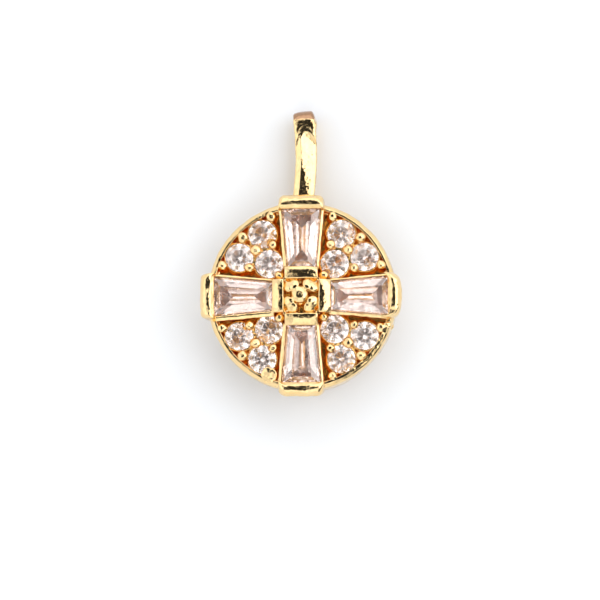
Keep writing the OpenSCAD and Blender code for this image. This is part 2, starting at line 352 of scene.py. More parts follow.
def finish_metal(obj):
    """Turns a metal piece made in millimetres to metres, plates it and hangs it on the part."""
    obj.data.transform(Matrix.Scale(MM, 4))
    obj.data.polygons.foreach_set("use_smooth", [True] * len(obj.data.polygons))
    obj.data.materials.clear()
    obj.data.materials.append(gold_plate_material())
    obj.data.update()
    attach(obj, "root")
    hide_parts("setting")


# Materials

def add_node(tree, kind, inputs=None, **settings):
    """Adds a node with its settings, and fills its inputs with values or links."""
    node = tree.nodes.new(kind)
    for name, value in settings.items():
        setattr(node, name, value)
    for name, value in (inputs or {}).items():
        if isinstance(value, bpy.types.NodeSocket):
            tree.links.new(value, node.inputs[name])
        else:
            node.inputs[name].default_value = value
    return node


def new_material(name):
    """An empty node material and its tree."""
    material = bpy.data.materials.new(name)
    material.use_nodes = True
    material.node_tree.nodes.clear()
    return material, material.node_tree


def per_metre(size_mm):
    """Scale of a pattern whose features are this many millimetres across."""
    return 1 / (size_mm * MM)


def gold_plate_material():
    """Gold-plated cast brass, tumbled and hand-polished.

    To the eye it is a mirror with a slightly uneven skin: highlights run to cream, and their
    edges are ragged. The polishing wheel doesn't reach between the stones, where the cast skin
    stays matt; there the colour is painted darker as shade, and steep sides between the caps and
    the caps' lips get a deeper, orange painted shade. The top of the bend, where it faces
    outwards, is coloured pinkish brown, which darkens its reflection."""
    found = bpy.data.materials.get("gold_plated_cast_brass")
    if found:
        return found
    finish = bpy.context.scene.nose_pin_finish
    metal = bpy.context.scene.nose_pin_metal
    material, tree = new_material("gold_plated_cast_brass")
    place = add_node(tree, "ShaderNodeTexCoord").outputs["Object"]
    parts = add_node(tree, "ShaderNodeSeparateXYZ", {"Vector": place})
    surface = add_node(tree, "ShaderNodeNewGeometry")
    normal = add_node(tree, "ShaderNodeSeparateXYZ", {"Vector": surface.outputs["Normal"]})
    # Distance from the disc's axis, and distance out along the nearer arm
    flat = add_node(tree, "ShaderNodeVectorMath", {0: place, 1: (1, 1, 0)}, operation="MULTIPLY")
    radius = add_node(tree, "ShaderNodeVectorMath", {0: flat.outputs["Vector"]},
                      operation="LENGTH").outputs["Value"]
    sizes = add_node(tree, "ShaderNodeVectorMath", {0: place}, operation="ABSOLUTE")
    size = add_node(tree, "ShaderNodeSeparateXYZ", {"Vector": sizes.outputs["Vector"]})
    along = add_node(tree, "ShaderNodeMath", {0: size.outputs["X"], 1: size.outputs["Y"]},
                     operation="MAXIMUM").outputs["Value"]
    # Place along the clip, made ragged
    tear = add_node(tree, "ShaderNodeTexNoise",
                    {"Vector": place, "Scale": per_metre(0.2), "Detail": 5, "Roughness": 0.7})
    bend = add_node(tree, "ShaderNodeMath",
                    {0: tear.outputs["Fac"], 1: 0.5 * MM, 2: parts.outputs["Y"]},
                    operation="MULTIPLY_ADD").outputs["Value"]

    # Where each mask is nought and where it is one
    rim = metal.disc_radius
    cup_top = metal.back_level + metal.cup_height
    wall_top = metal.back_level + metal.wall_height
    stone_end = BAGUETTE_HIGH.y * MM
    reach = SETTING_HIGH.y * MM
    ends = {
        "inside": (radius, rim - 0.36 * MM, rim - 0.42 * MM),
        "within": (radius, rim - 0.1 * MM, rim - 0.25 * MM),
        "beyond": (along, 0.9 * MM, 1.0 * MM),
        "at_cap": (along, stone_end - 0.18 * MM, stone_end - 0.1 * MM),
        "at_bend": (bend, reach - 0.45 * MM, reach - 0.33 * MM),
        "deep": (parts.outputs["Z"], cup_top + 0.1 * MM, cup_top - 0.05 * MM),
        "above": (parts.outputs["Z"], metal.back_level + 0.2 * MM, metal.back_level + 0.3 * MM),
        "not_low": (parts.outputs["Z"], wall_top - 0.14 * MM, wall_top - 0.09 * MM),
        "not_high": (parts.outputs["Z"], wall_top + 0.12 * MM, wall_top + 0.06 * MM),
        "steep": (normal.outputs["Z"], 0.75, 0.35),
        "facing": (normal.outputs["Y"], 0.1, 0.3),
    }
    mask = {}
    for name, (value, nought, one) in ends.items():
        node = add_node(tree, "ShaderNodeMapRange",
                        {"Value": value, "From Min": nought, "From Max": one})
        mask[name] = node.outputs["Result"]
    # Below the girdles and inside the rim the wheel doesn't reach, so the skin there is matt, and it
    # is painted darker as shade. Steep sides between the caps, picked out by their normals, and the
    # end caps' lips, which lie level with the stones, get a deeper, orange painted shade. The top of
    # the bend, where it faces outwards, is coloured pinkish brown.
    joined = (
        ("shelter", "MULTIPLY", "inside", "deep"),
        ("shaded_matt_recess", "MULTIPLY", "shelter", "above"),
        ("between", "MULTIPLY", "within", "beyond"),
        ("side", "MULTIPLY", "steep", "between"),
        ("flank", "MULTIPLY", "side", "above"),
        ("level", "MULTIPLY", "not_low", "not_high"),
        ("lips", "MULTIPLY", "level", "at_cap"),
        ("painted_amber_shade", "MAXIMUM", "flank", "lips"),
        ("worn", "MULTIPLY", "at_bend", "facing"),
        ("matt", "MAXIMUM", "shaded_matt_recess", "lips"),
    )
    for name, operation, first, second in joined:
        node = add_node(tree, "ShaderNodeMath", {0: mask[first], 1: mask[second]},
                        operation=operation)
        mask[name] = node.outputs["Value"]

    # Plating builds up unevenly over about half a millimetre; the painted shade of the hollows, the
    # deeper painted shade and the pinkish brown of the bend each lie over the last
    plating = add_node(tree, "ShaderNodeTexNoise",
                       {"Vector": place, "Scale": per_metre(0.5), "Detail": 3, "Roughness": 0.6})
    colour = add_node(tree, "ShaderNodeMix",
                      {"Factor": plating.outputs["Fac"], "A": (*finish.gold, 1),
                       "B": (*finish.gold_deep, 1)}, data_type="RGBA")
    for name, over in (("shaded_matt_recess", finish.shaded_matt_recess), ("painted_amber_shade", finish.lip), ("worn", finish.bend_pink_brown)):
        colour = add_node(tree, "ShaderNodeMix",
                          {"Factor": mask[name], "A": colour.outputs["Result"],
                           "B": (*over, 1)}, data_type="RGBA")
    # Polishing leaves a patchy gloss, and the cast skin of the recesses is rougher
    gloss = add_node(tree, "ShaderNodeTexNoise",
                     {"Vector": place, "Scale": per_metre(0.12), "Detail": 4, "Roughness": 0.65})
    polished, cast = (
        add_node(tree, "ShaderNodeMapRange",
                 {"Value": gloss.outputs["Fac"], "From Min": 0.3, "From Max": 0.7,
                  "To Min": least, "To Max": most})
        for least, most in ((0.05, 0.14), (0.1, 0.26)))
    roughness = add_node(tree, "ShaderNodeMix",
                         {"Factor": mask["matt"], "A": polished.outputs["Result"],
                          "B": cast.outputs["Result"]})
    # The cast skin has grains of about 0.06 mm, drawn at 0.1 mm so that they show
    grain = add_node(tree, "ShaderNodeTexNoise",
                     {"Vector": place, "Scale": per_metre(0.1), "Detail": 3, "Roughness": 0.55})
    bump = add_node(tree, "ShaderNodeBump",
                    {"Height": grain.outputs["Fac"], "Strength": 0.3, "Distance": 0.02 * MM})
    shader = add_node(tree, "ShaderNodeBsdfPrincipled",
                      {"Base Color": colour.outputs["Result"], "Metallic": 1,
                       "Roughness": roughness.outputs["Result"],
                       "Normal": bump.outputs["Normal"]})
    add_node(tree, "ShaderNodeOutputMaterial", {"Surface": shader.outputs["BSDF"]})
    return material


def zirconia_material(name, tint, clear, wave, wave_size):
    """Cubic zirconia, cut and polished.

    It bends light strongly, so its facets show a broken mix of the tent, the gold round it and
    its own far facets. The cheap grade is a little cloudy, which lifts the darkest facets to a
    pinkish grey. Clear is the share of light that it lets through. Wave and wave_size are the
    depth and size of the facets' unevenness, in millimetres."""
    material, tree = new_material(name)
    place = add_node(tree, "ShaderNodeTexCoord").outputs["Object"]
    cloud = add_node(tree, "ShaderNodeTexNoise",
                     {"Vector": place, "Scale": per_metre(0.6), "Detail": 3, "Roughness": 0.6})
    clearness = add_node(tree, "ShaderNodeMapRange",
                         {"Value": cloud.outputs["Fac"], "From Min": 0.35, "From Max": 0.65,
                          "To Min": clear - 0.06, "To Max": clear + 0.06})
    scratches = add_node(tree, "ShaderNodeTexNoise",
                         {"Vector": place, "Scale": per_metre(0.15), "Detail": 4,
                          "Roughness": 0.7})
    roughness = add_node(tree, "ShaderNodeMapRange",
                         {"Value": scratches.outputs["Fac"], "From Min": 0.45, "From Max": 0.75,
                          "To Min": 0.01, "To Max": 0.06})
    # Hand polishing leaves the facets slightly wavy
    waves = add_node(tree, "ShaderNodeTexNoise",
                     {"Vector": place, "Scale": per_metre(wave_size), "Detail": 4,
                      "Roughness": 0.6})
    wavy = add_node(tree, "ShaderNodeBump",
                    {"Height": waves.outputs["Fac"], "Strength": 0.5, "Distance": wave * MM})
    shader = add_node(tree, "ShaderNodeBsdfPrincipled",
                      {"Base Color": (*tint, 1), "Roughness": roughness.outputs["Result"],
                       "IOR": 2.15, "Transmission Weight": clearness.outputs["Result"],
                       "Normal": wavy.outputs["Normal"]})
    add_node(tree, "ShaderNodeOutputMaterial", {"Surface": shader.outputs["BSDF"]})
    return material


def floor_material():
    """Matt white card, which keeps the shadow round the pin soft and grey."""
    finish = bpy.context.scene.nose_pin_finish
    material, tree = new_material("matt_white_card")
    place = add_node(tree, "ShaderNodeTexCoord").outputs["Object"]
    # Fibres of the card, drawn at 0.6 mm so that they can show at all
    fibres = add_node(tree, "ShaderNodeTexNoise",
                      {"Vector": place, "Scale": per_metre(0.6), "Detail": 5, "Roughness": 0.6})
    bump = add_node(tree, "ShaderNodeBump",
                    {"Height": fibres.outputs["Fac"], "Strength": 0.1, "Distance": 0.02 * MM})
    shader = add_node(tree, "ShaderNodeBsdfPrincipled",
                      {"Base Color": (*finish.floor, 1), "Roughness": 0.9,
                       "Specular IOR Level": 0.1, "Normal": bump.outputs["Normal"]})
    add_node(tree, "ShaderNodeOutputMaterial", {"Surface": shader.outputs["BSDF"]})
    return material


# Disc

def round_spots():
    """Middles of the round stones seen from above, in millimetres."""
    spots = []
    for name in ROUND_NODES:
        low, high = node_box_mm(name)
        spots.append(((low.x + high.x) / 2, (low.y + high.y) / 2))
    return spots


def disc_profile(metal):
    """Half section of the disc, from the middle of its back round to the middle of its floor."""
    back = in_mm(metal, "back_level")
    radius = in_mm(metal, "disc_radius")
    inner = radius - in_mm(metal, "rim_width")
    rim = back + in_mm(metal, "rim_height")
    floor = back + in_mm(metal, "floor_height")
    slope = in_mm(metal, "rim_slope")
    back_edge = 0.12
    crest = 0.05
    foot = 0.07
    # The side is rounded into the slope over this width
    rounding = 0.11
    # How far the slope's outer end lies below its inner one
    crown = 0.065
    profile = [(place, back) for place in (0, 1.2, 2.4, 3.6, 4.2)]
    profile += arc((radius - back_edge, back + back_edge), back_edge, -90, 0, 5)
    profile += [(radius, back + step) for step in (0.4, 0.7, 0.95, 1.15, rim - back - slope - 0.04)]
    profile += [(radius - 0.03, rim - slope + 0.04), (radius - 0.08, rim - slope + rounding)]
    rows = 10
    for i in range(rows + 1):
        share = i / rows
        profile.append((radius - rounding - (slope - rounding) * share,
                        rim - crown * (1 - share) ** 1.6 - 0.004))
    profile += arc((inner + crest, rim - crest), crest, 80, 180, 5)
    profile += [(inner, floor + step) for step in (0.35, 0.25, 0.15)]
    profile += arc((inner - foot, floor + foot), foot, 0, -90, 4)
    rings = 60
    start = inner - foot
    profile += [(start * (1 - i / rings), floor) for i in range(1, rings)]
    profile += [(0, floor)]
    return profile


def file_rim(disc, metal):
    """Files the rim's top flat in places, deepest at the lower right, and leaves it scored."""
    rim = in_mm(metal, "back_level") + in_mm(metal, "rim_height")
    inner = in_mm(metal, "disc_radius") - in_mm(metal, "rim_width")
    # Height of the band along the rim's top that is filed
    band = 0.2
    uneven_depth = 0.045
    # Depth, direction and reach of the deepest place
    most_depth = 0.042
    most_at = math.radians(-38)
    most_reach = math.radians(24)
    score_depth = 0.035
    score_size = 0.17
    # Depth of filing at which the scores are as deep as they get
    score_full = 0.03
    for vertex in disc.data.vertices:
        x, y, z = vertex.co
        if z < rim - band or math.hypot(x, y) < inner:
            continue
        angle = math.atan2(y, x)
        uneven = noise.noise(Vector((5 * math.cos(angle), 5 * math.sin(angle), 4.2)))
        deepest = math.exp(-((angle - most_at) / most_reach) ** 2)
        depth = max(0, uneven_depth * uneven) + most_depth * deepest
        score = score_depth * noise.noise(vertex.co / score_size) * min(1, depth / score_full)
        vertex.co.z = min(z, rim - depth + score)
    disc.data.update()


def seat_profile(margin, top):
    """Half section of the room that a round stone needs, up to a height above its girdle.

    Margin is the room left round the stone."""
    girdle = ROUND_HIGH.z - ROUND_CROWN
    girdle_thickness = 0.03
    radius = ROUND_RADIUS
    side = radius + margin
    # Corners of the stars and edge of the table: share of the radius, height above the girdle
    crown = [(share * radius + margin, girdle + height + margin)
             for share, height in ((0.79, 0.13), (0.55, 0.21))]
    return [(0, ROUND_LOW.z - 2 * margin), (side, girdle - girdle_thickness - margin),
            (side, girdle + margin), *crown, (0.5 * radius, girdle + top), (0, girdle + top)]


def stone_cutter(spots, margin, top):
    """Room for the round stones at some places."""
    bm = bmesh.new()
    for spot in spots:
        lathe(bm, seat_profile(margin, top), steps=40, centre=spot)
    return add_object("stone_cutter", bm)


def cut(obj, cutter):
    """Takes the cutter's solids out of a piece."""
    boolean = obj.modifiers.new("Cut", "BOOLEAN")
    boolean.operation = "DIFFERENCE"
    boolean.solver = "MANIFOLD"
    boolean.object = cutter
    apply_modifiers(obj)
    bpy.data.objects.remove(cutter)


def build_disc():
    """The round disc with its rim and its seats."""
    metal = bpy.context.scene.nose_pin_metal
    bm = bmesh.new()
    lathe(bm, disc_profile(metal), steps=400)
    disc = add_object("disc", bm)
    file_rim(disc, metal)
    roughen(disc, [(0.035, 1.4), (0.02, 0.4), (0.006, 0.12)])
    cut(disc, stone_cutter(round_spots(), margin=0.025, top=0.4))
    finish_metal(disc)


# Cross

def baguette_half(distance):
    """Half of a baguette's width at a distance from the middle."""
    share = (distance - BAGUETTE_LOW.y) / (BAGUETTE_HIGH.y - BAGUETTE_LOW.y)
    return BAGUETTE_NARROW + (BAGUETTE_HIGH.x - BAGUETTE_NARROW) * share


def add_walls(bm, metal, shares):
    """The two thin walls along a baguette's long sides, whose tops slant outwards.

    Shares are the left and the right wall's share of the wall thickness."""
    back = in_mm(metal, "back_level")
    low = back + in_mm(metal, "floor_height") - SUNK
    high = back + in_mm(metal, "wall_height")
    gap = 0.025
    slant = 0.5
    widest_slant = 0.14
    for side, share in zip((-1, 1), shares):
        thickness = in_mm(metal, "wall_thickness") * share
        slant_width = min(thickness, widest_slant)
        drop = slant * slant_width
        sections = []
        for along in (BAGUETTE_LOW.y - gap, BAGUETTE_HIGH.y + gap):
            inner = baguette_half(along) + gap
            outer = inner + thickness
            crest = outer - slant_width
            sections.append([(side * x, along, z) for x, z in (
                (inner, low), (outer, low), (outer, high - drop), (crest, high), (inner, high))])
        loft(bm, sections)


def add_end_cap(bm, metal, corner, bulge, flats):
    """The cap over a baguette's wide end: crest near the stone, rounded outer shoulder.

    Corner is the radius of its outer corners, and bulge how far its outer side bows. Flats are
    filed into its crest: place along the cap, half length and depth of each."""
    back = in_mm(metal, "back_level")
    reach = -SETTING_LOW.x
    half = in_mm(metal, "end_cap_width") / 2
    near = reach - in_mm(metal, "end_cap_length")
    seat = BAGUETTE_HIGH.y + 0.03
    top = SETTING_HIGH.z
    shoulder = 0.42
    draft = 0.2
    lip = back + CAP_LIP
    crest = near + 0.28
    # Furthest that the bulge and the rounded corners draw the outer side in
    most_pull = 0.5
    # The bevel beside the crest and the cap's inner edge, down from the crest
    bevel = 0.1
    bevel_drop = 0.03
    inner_drop = 0.16
    sections = []
    steps = 48
    for i in range(steps + 1):
        x = half * math.sin(math.pi * (i / steps - 0.5))
        over = max(0, abs(x) - (half - corner))
        pull = corner - math.sqrt(max(0, corner * corner - over * over)) + bulge * (x / half) ** 2
        outer = reach - min(pull, most_pull)
        drop = 0.4 * pull
        centre = (outer - shoulder, top - shoulder - drop)
        rounding = arc(centre, shoulder, 0, 90, 10)
        crest_y = min(crest, outer - shoulder - 0.01)
        profile = [(seat, back), (outer - draft, back), (outer - 0.5 * draft, back + 0.75)]
        profile += rounding
        profile += [(crest_y, top - drop), (crest_y - bevel, top - drop - bevel_drop),
                    (near, top - drop - inner_drop), (near, lip), (seat, lip)]
        filed = sum(depth * math.exp(-((x - place) / reach_x) ** 2)
                    for place, reach_x, depth in flats)
        ceiling = top - drop - filed
        sections.append([(x, y, min(z, ceiling)) for y, z in profile])
    loft(bm, sections)


def add_inner_cap(bm, metal, flat):
    """The cap over a baguette's narrow end: flat near the middle, falling away to the stone.

    Flat is the share of its length that the flat takes."""
    back = in_mm(metal, "back_level")
    low = back + in_mm(metal, "floor_height") - SUNK
    top = back + in_mm(metal, "inner_cap_height")
    half = in_mm(metal, "inner_cap_width") / 2
    near = 0.86
    far = 1.48
    seat = BAGUETTE_LOW.y - 0.03
    lip = back + CAP_LIP
    edge = 0.05
    last_slope = 0.65
    # The sides are rounded off, the more so towards the stone
    side_drop = 0.035
    widest = 1.2
    taper = 0.25
    steps = 24
    rows = 14
    sections = []
    for i in range(steps + 1):
        x = half * math.sin(math.pi * (i / steps - 0.5))
        soft = edge if i in (0, steps) else 0
        profile = [(near, low), (seat, low), (seat, lip), (far, lip)]
        for j in range(rows + 1):
            share = 1 - j / rows
            y = near + 0.02 + share * (far - near - 0.04)
            falling = max(0, share - flat) * (far - near)
            drop = falling ** 2 * last_slope / (2 * (1 - flat) * (far - near))
            side = min(widest, abs(x / half) / (1 - taper * share))
            profile.append((y, top - soft - drop - side_drop * side ** 5))
        profile.append((near, top - edge - soft - side_drop * side ** 5))
        sections.append([(x, y, z) for y, z in profile])
    loft(bm, sections)


def build_arms():
    """Four arms of the cross: walls, end cap and inner cap, fused and softened."""
    metal = bpy.context.scene.nose_pin_metal
    # The caps were filed by hand: outer corner radius, bulge and flats of the end cap
    caps = {
        "baguette_top": (0.28, 0.02, ((0.1, 0.9, 0.018), (-0.6, 0.2, 0.01), (0.4, 0.2, 0.01))),
        "baguette_right": (0.4, 0.16, ((0.1, 0.7, 0.018), (0.8, 0.2, 0.045))),
        "baguette_bottom": (0.36, 0.03, ((0, 0.9, 0.018), (0.6, 0.2, 0.015), (-0.3, 0.2, 0.012))),
        "baguette_left": (0.26, 0.03, ((0.45, 0.32, 0.04), (-0.4, 0.4, 0.014), (-0.7, 0.1, 0.02))),
    }
    # Share of each inner cap's length that its flat takes
    flats = {
        "baguette_top": 0.68,
        "baguette_right": 0.3,
        "baguette_bottom": 0.12,
        "baguette_left": 0.25,
    }
    # Left and right wall of each arm, looking outwards
    walls = {
        "baguette_top": (1.0, 0.9),
        "baguette_right": (0.7, 1.1),
        "baguette_bottom": (0.9, 1.2),
        "baguette_left": (1.8, 0.7),
    }
    for node, turn in BAGUETTE_TURNS.items():
        bm = bmesh.new()
        add_walls(bm, metal, walls[node])
        add_end_cap(bm, metal, *caps[node])
        add_inner_cap(bm, metal, flats[node])
        bmesh.ops.rotate(bm, cent=(0, 0, 0), verts=bm.verts,
                         matrix=Matrix.Rotation(math.radians(turn), 3, "Z"))
        arm = add_object(node.replace("baguette", "arm"), bm)
        fuse(arm, voxel=0.028, smoothing=2)
        roughen(arm, [(0.03, 0.7), (0.014, 0.22), (0.005, 0.1)])
        finish_metal(arm)


# Centre and prongs

def bead_profile(radius, low, middle, flatness, worn=1.0):
    """Half section of a round post with a spread foot and a ball, pressed flat by a share.

    Worn is the share of the ball's height at which its top is worn level."""
    post_share = 0.85
    post = radius * post_share
    start = -math.degrees(math.acos(post_share))
    spread = post + 0.09
    foot = 0.2
    profile = [(0, low), (spread, low), (spread, low + 0.06), (post + 0.03, low + 0.13),
               (post, low + foot), (post, (low + foot + middle) / 2)]
    ball = arc((0, 0), radius, start, 80, 14)
    profile += [(r, middle + flatness * min(z, worn * radius)) for r, z in ball]
    profile += [(0, middle + flatness * radius * worn)]
    return profile


def add_leaning_bead(bm, spot, profile, lean_from, fall, level):
    """A bead whose top falls away from the middle of the disc and is cut off at a level.

    The part above lean_from leans, and fall is its slope."""
    bead = bmesh.new()
    lathe(bead, profile, steps=32, centre=spot)
    away = Vector(spot).normalized()
    for vertex in bead.verts:
        if vertex.co.z > lean_from:
            out = (vertex.co.x - spot[0]) * away.x + (vertex.co.y - spot[1]) * away.y
            vertex.co.z = min(vertex.co.z - fall * out, level)
    append_mesh(bm, bead)


def build_centre():
    """The ball in the middle, the beads round it and their sunk base."""
    metal = bpy.context.scene.nose_pin_metal
    back = in_mm(metal, "back_level")
    low = back + in_mm(metal, "floor_height") - SUNK
    ball = in_mm(metal, "ball_radius")
    bm = bmesh.new()
    base = 0.92
    base_height = 0.95
    corner_height = 1.7
    prism(bm, [(-base, -base), (base, -base), (base, base), (-base, base)],
          low, back + base_height)
    # Four raised corners leave a pit on each side of the ball
    pit = 0.2
    corner = ((pit, pit), (base, pit), (base, base), (pit, base))
    for side_x, side_y in ((1, 1), (1, -1), (-1, -1), (-1, 1)):
        prism(bm, [(side_x * x, side_y * y) for x, y in corner], low, back + corner_height)
    # Ball, the collar under it and the beads round it: x, y, radius, height of the middle,
    # share left of a worn top
    beads = (
        (-0.07, 0.05, ball, in_mm(metal, "ball_height"), 0.9),
        (-0.07, -0.02, ball + 0.07, 1.4, 1),
        (-0.68, 0.50, 0.34, 1.78, 1),
        (-0.42, 0.60, 0.34, 1.84, 1),
        (0.40, 0.62, 0.34, 1.84, 1),
        (0.66, 0.50, 0.34, 1.80, 1),
        (-0.68, -0.36, 0.34, 1.82, 1),
        (-0.50, -0.64, 0.34, 1.80, 1),
        (0.64, -0.34, 0.35, 1.83, 1),
        (0.46, -0.62, 0.34, 1.79, 1),
        (-0.08, 0.74, 0.14, 1.56, 1),
    )
    # The beads' tops fall away from the ball and are worn level next to it
    lean_height = 1.2
    fall = 0.55
    flatness = 0.6
    wear = 0.015
    for x, y, radius, height, worn in beads:
        profile = bead_profile(radius, low, back + height, flatness, worn)
        if math.hypot(x, y) > ball:
            level = back + height + radius * math.hypot(flatness, fall) - wear
            add_leaning_bead(bm, (x, y), profile, back + lean_height, fall, level)
        else:
            lathe(bm, profile, steps=32, centre=(x, y))
    centre = add_object("centre_beads", bm)
    fuse(centre, voxel=0.022, smoothing=2)
    roughen(centre, [(0.02, 0.3), (0.006, 0.12)])
    finish_metal(centre)


def quarter_prongs():
    """Prongs of the upper right quarter: x, y and a share of the prong's radius."""
    return (
        (1.53, 3.97, 1.0),
        (1.42, 2.57, 0.95),
        (2.30, 2.31, 1.1),
        (2.93, 2.93, 1.1),
        (2.59, 1.41, 0.95),
        (3.93, 1.55, 1.0),
        (1.10, 1.03, 0.95),
    )


def cup_profile(metal):
    """Half section of the cup round a round stone, before its seat is cut."""
    back = in_mm(metal, "back_level")
    low = back + in_mm(metal, "floor_height") - 0.06
    top = back + in_mm(metal, "cup_height")
    outer = ROUND_RADIUS + in_mm(metal, "cup_wall")
    return [(0, low), (outer + 0.09, low), (outer + 0.08, low + 0.08), (outer + 0.03, low + 0.17),
            (outer, low + 0.3), (outer, top - 0.05), (outer - 0.05, top), (0, top)]


def build_quarters():
    """Cups and beaded prongs of each quarter, cast as one."""
    metal = bpy.context.scene.nose_pin_metal
    back = in_mm(metal, "back_level")
    low = back + in_mm(metal, "floor_height") - 0.05
    middle = back + in_mm(metal, "prong_height")
    quarters = {"ne": (1, 1), "se": (1, -1), "sw": (-1, -1), "nw": (-1, 1)}
    # Metal smeared beside two end prongs: x, y, radius, height over a prong's and flatness
    smears = {
        "sw": (-1.62, -3.93, 0.42, 0.15, 0.2),
        "se": (4.27, -1.42, 0.19, 0, 0.8),
    }
    fall = 0.3
    for name, (side_x, side_y) in quarters.items():
        spots = [spot for spot in round_spots() if spot[0] * side_x > 0 and spot[1] * side_y > 0]
        bm = bmesh.new()
        for spot in spots:
            lathe(bm, cup_profile(metal), steps=48, centre=spot)
        for x, y, share in quarter_prongs():
            radius = in_mm(metal, "prong_radius") * share
            profile = bead_profile(radius, low, middle, flatness=0.8, worn=0.95)
            lathe(bm, profile, steps=28, centre=(side_x * x, side_y * y))
        if name in smears:
            x, y, radius, over, flatness = smears[name]
            profile = bead_profile(radius, low, middle + over, flatness)
            add_leaning_bead(bm, (x, y), profile, middle - 0.1, fall, middle + 0.3)
        quarter = add_object("prongs_" + name, bm)
        fuse(quarter, voxel=0.03, smoothing=2)
        roughen(quarter, [(0.045, 0.35), (0.014, 0.14)])
        cut(quarter, stone_cutter(spots, margin=0.008, top=0.22))
        finish_metal(quarter)


# Clip

def strip_route(metal):
    """Stations along the strip's middle line: y, z and angle of the outer face in degrees."""
    thickness = in_mm(metal, "strip_thickness")
    height = in_mm(metal, "back_level") + thickness
    outer = in_mm(metal, "bend_radius")
    middle = outer - thickness / 2
    bend_y = SETTING_HIGH.y - outer
    start_y = 4.3
    end_y = 0.4
    # Stations on the front leg, round a corner, between the corners and on the back leg
    front = 130
    turn = 24
    rise = 10
    rear = 60
    stations = [(start_y + (bend_y - start_y) * i / front, height - thickness / 2, 90)
                for i in range(front)]
    for corner_z, first in ((height - outer, 90), (outer, 0)):
        for i in range(turn + 1):
            angle = first - 90 * i / turn
            stations.append((bend_y + middle * math.cos(math.radians(angle)),
                             corner_z + middle * math.sin(math.radians(angle)), angle))
        if first == 90:
            stations += [(bend_y + middle, corner_z + (outer - corner_z) * i / rise, 0)
                         for i in range(1, rise)]
    stations += [(bend_y + (end_y - bend_y) * i / rear, thickness / 2, -90)
                 for i in range(1, rear + 1)]
    return stations


def soft_max(values, softness):
    """Largest of some values, with the change from one to the next rounded."""
    return softness * math.log(sum(math.exp(value / softness) for value in values))


def wedge_width(across, y):
    """Width of the wedge on the front leg. It starts at a point, and its right side is ragged."""
    start_y = 7.0
    length = 1.8
    full = 0.4
    if y >= start_y:
        return 0.0
    width = full * min(1, (start_y - y) / length)
    # How far that side wanders, and how near to it a place is moved
    wander = 0.11
    reach = 0.14
    from_side = (across - STRIP_RIDGE - width) / reach
    ragged = noise.noise(Vector((across / 0.16, y / 0.1, 5.5)))
    return width + wander * ragged * math.exp(-from_side ** 2)


def filed_planes(across, y):
    """Depth of the front leg's planes: a narrow left one, a broad right one and, towards the
    disc, a flatter wedge between them."""
    slope_left = math.tan(math.radians(24))
    slope_wedge = math.tan(math.radians(4))
    slope_right = math.tan(math.radians(17))
    right = across - STRIP_RIDGE
    return soft_max([max(0, right) * slope_wedge, -right * slope_left,
                     (right - wedge_width(across, y)) * slope_right], softness=0.004)


def outer_depth(across, y, angle, half):
    """How far the strip's outer face lies below its highest line, at a place across it."""
    # The filed planes end in an arch, and fade into a slight curve above it
    arch_top = 8.05
    arch_drop = 0.55
    arch_middle = 0.05
    fade = 0.3
    arch_y = arch_top - arch_drop * ((across - arch_middle) / half) ** 2
    front = 0.0
    if angle == 90:
        front = max(0, min(1, 1 - (y - arch_y) / fade))
    curve = 0.05 * (across / half) ** 2
    depth = filed_planes(across, y) * front + curve * (1 - front)
    # Its edges are rounded
    rounding = 0.08
    edge = max(0, abs(across) - (half - rounding))
    depth += rounding - math.sqrt(max(0, rounding ** 2 - edge ** 2))
    # The top of the bend is filed slanting to the left, with its right corner rounded off
    highest = 0.35
    slant = 0.12 * max(0, (highest - across) / (highest + half))
    corner = 0.24 * max(0, (across - highest) / (half - highest)) ** 2
    apex = max(0, math.cos(math.radians(angle))) ** 2
    return depth + (slant + corner) * apex


def strip_width(metal, y, angle):
    """Half of the strip's width: the back leg is narrower than the front one."""
    full = in_mm(metal, "strip_width") / 2
    narrowing = 1.5
    if angle > -90:
        return full
    bend_y = SETTING_HIGH.y - in_mm(metal, "bend_radius")
    return max(BACK_LEG_HALF, full - (full - BACK_LEG_HALF) * (bend_y - y) / narrowing)


def strip_bow(y, angle):
    """Sideways shift of the strip, which was bent by hand."""
    if angle <= -90:
        return STRIP_OFFSET
    start_y = 5.0
    length = 4.4
    most_bow = 0.14
    set_left = 0.03
    share = max(0, min(1, (y - start_y) / length))
    bow = most_bow * math.sin(math.pi * share) * (1 if angle > 0 else 0.6)
    return STRIP_OFFSET - set_left + bow


def build_clip():
    """The flat strip: soldered to the disc, bent round, and run back to its paddle."""
    metal = bpy.context.scene.nose_pin_metal
    thickness = in_mm(metal, "strip_thickness")
    columns = 40
    # Extra columns keep the ridge sharp
    ridge = [STRIP_RIDGE + side for side in (-0.012, 0, 0.012)]
    bm = bmesh.new()
    sections = []
    for y, z, angle in strip_route(metal):
        outward = Vector((0, math.cos(math.radians(angle)), math.sin(math.radians(angle))))
        half = strip_width(metal, y, angle)
        face = Vector((strip_bow(y, angle), y, z)) + outward * thickness / 2
        points = []
        places = [half * math.sin(math.pi * (i / columns - 0.5)) for i in range(columns + 1)]
        for across in sorted(places + ridge):
            depth = outer_depth(across, y, angle, half)
            points.append(face + Vector((across, 0, 0)) - outward * depth)
        for across in (half, 0.9 * half, 0.3 * half, -0.3 * half, -0.9 * half, -half):
            soft = 0.05 if abs(across) == half else 0.0
            points.append(face + Vector((across, 0, 0)) - outward * (thickness - soft))
        sections.append(points)
    loft(bm, sections)
    clip = add_object("clip_strip", bm)
    roughen(clip, [(0.02, 0.9), (0.012, 0.25), (0.006, 0.09)])
    finish_metal(clip)


